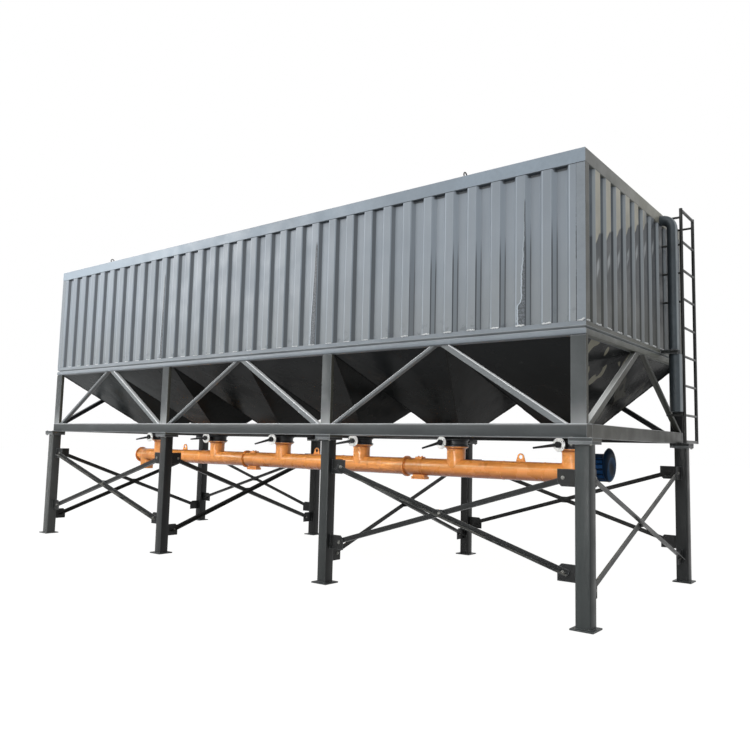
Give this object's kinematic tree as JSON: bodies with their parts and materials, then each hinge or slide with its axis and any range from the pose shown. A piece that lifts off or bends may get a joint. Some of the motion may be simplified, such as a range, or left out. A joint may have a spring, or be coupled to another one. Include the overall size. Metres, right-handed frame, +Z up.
{
  "type": "cement silo",
  "caption": "Horizontal cement silo: a corrugated steel box on a trussed base with legs, pyramid hoppers with lever valves, a screw conveyor with motor, a fill pipe and a ladder.",
  "frame": {"origin": "centre of the footprint, on the floor under the feet", "axes": "+X along the length towards the ladder and the motor, -Y towards the valve levers, +Z up"},
  "size_m": [7.23, 2.536, 3.3575],
  "materials": {
    "leg_paint": "satin dark grey enamel, dusty",
    "brace_paint": "satin dark grey enamel",
    "truss_paint": "satin grey enamel",
    "rail_paint": "satin light blue-grey enamel",
    "wall_paint": "satin light blue-grey enamel with rubbed seams",
    "end_wall_paint": "satin grey enamel",
    "hopper_paint": "satin near-black enamel",
    "valve_paint": "black body with a galvanised notched plate",
    "lever_paint": "satin black",
    "conveyor_paint": "semi-gloss orange enamel",
    "gearbox_paint": "satin black",
    "motor_paint": "semi-gloss navy enamel",
    "pipe_paint": "satin grey enamel",
    "ladder_paint": "satin dark grey enamel"
  },
  "bodies": {
    "silo": {"leg_front_1": "leg_paint", "leg_front_2": "leg_paint", "leg_front_3": "leg_paint", "leg_front_4": "leg_paint", "leg_back_1": "leg_paint", "leg_back_2": "leg_paint", "leg_back_3": "leg_paint", "leg_back_4": "leg_paint", "brace_front_left": "brace_paint", "brace_front_right": "brace_paint", "brace_back_left": "brace_paint", "brace_back_right": "brace_paint", "brace_cross_1": "brace_paint", "brace_cross_2": "brace_paint", "brace_cross_3": "brace_paint", "brace_cross_4": "brace_paint", "front_truss": "truss_paint", "back_truss": "truss_paint", "left_end_truss": "truss_paint", "right_end_truss": "truss_paint", "cross_beam_left": "truss_paint", "cross_beam_right": "truss_paint", "bottom_rail": "rail_paint", "top_rail": "rail_paint", "corner_post_front_left": "rail_paint", "corner_post_front_right": "rail_paint", "corner_post_back_left": "rail_paint", "corner_post_back_right": "rail_paint", "roof": "rail_paint", "front_wall": "wall_paint", "back_wall": "wall_paint", "left_end_wall": "end_wall_paint", "right_end_wall": "end_wall_paint", "hopper_1": "hopper_paint", "valve_1": "valve_paint", "hopper_2": "hopper_paint", "valve_2": "valve_paint", "hopper_3": "hopper_paint", "valve_3": "valve_paint", "hopper_4": "hopper_paint", "valve_4": "valve_paint", "hopper_5": "hopper_paint", "valve_5": "valve_paint", "hopper_6": "hopper_paint", "valve_6": "valve_paint", "conveyor_tube_left": "conveyor_paint", "conveyor_tube_middle": "conveyor_paint", "conveyor_tube_right": "conveyor_paint", "gearbox": "gearbox_paint", "motor": "motor_paint", "fill_pipe": "pipe_paint", "ladder": "ladder_paint"},
    "outlet_lever_1": {"lever_1": "lever_paint"},
    "outlet_lever_2": {"lever_2": "lever_paint"},
    "outlet_lever_3": {"lever_3": "lever_paint"},
    "outlet_lever_4": {"lever_4": "lever_paint"},
    "outlet_lever_5": {"lever_5": "lever_paint"},
    "outlet_lever_6": {"lever_6": "lever_paint"}
  },
  "joints": [
    {"name": "lever_1_swing", "type": "hinge", "parent": "silo", "child": "outlet_lever_1", "pos_m": [-2.93596, -0.20081, 1.2267], "axis": [0.0698, -0.9976, 0], "range_deg": [0, 90]},
    {"name": "lever_2_swing", "type": "hinge", "parent": "silo", "child": "outlet_lever_2", "pos_m": [-1.77596, -0.20081, 1.2267], "axis": [0.0698, -0.9976, 0], "range_deg": [0, 90]},
    {"name": "lever_3_swing", "type": "hinge", "parent": "silo", "child": "outlet_lever_3", "pos_m": [-0.61946, -0.20102, 1.2267], "axis": [0.0523, -0.9986, 0], "range_deg": [0, 90]},
    {"name": "lever_4_swing", "type": "hinge", "parent": "silo", "child": "outlet_lever_4", "pos_m": [0.56496, -0.19824, 1.2267], "axis": [0.1736, -0.9848, 0], "range_deg": [0, 90]},
    {"name": "lever_5_swing", "type": "hinge", "parent": "silo", "child": "outlet_lever_5", "pos_m": [1.6413, -0.19532, 1.2267], "axis": [-0.2419, -0.9703, 0], "range_deg": [0, 90]},
    {"name": "lever_6_swing", "type": "hinge", "parent": "silo", "child": "outlet_lever_6", "pos_m": [2.81159, -0.1976, 1.2267], "axis": [-0.1908, -0.9816, 0], "range_deg": [0, 90]}
  ]
}
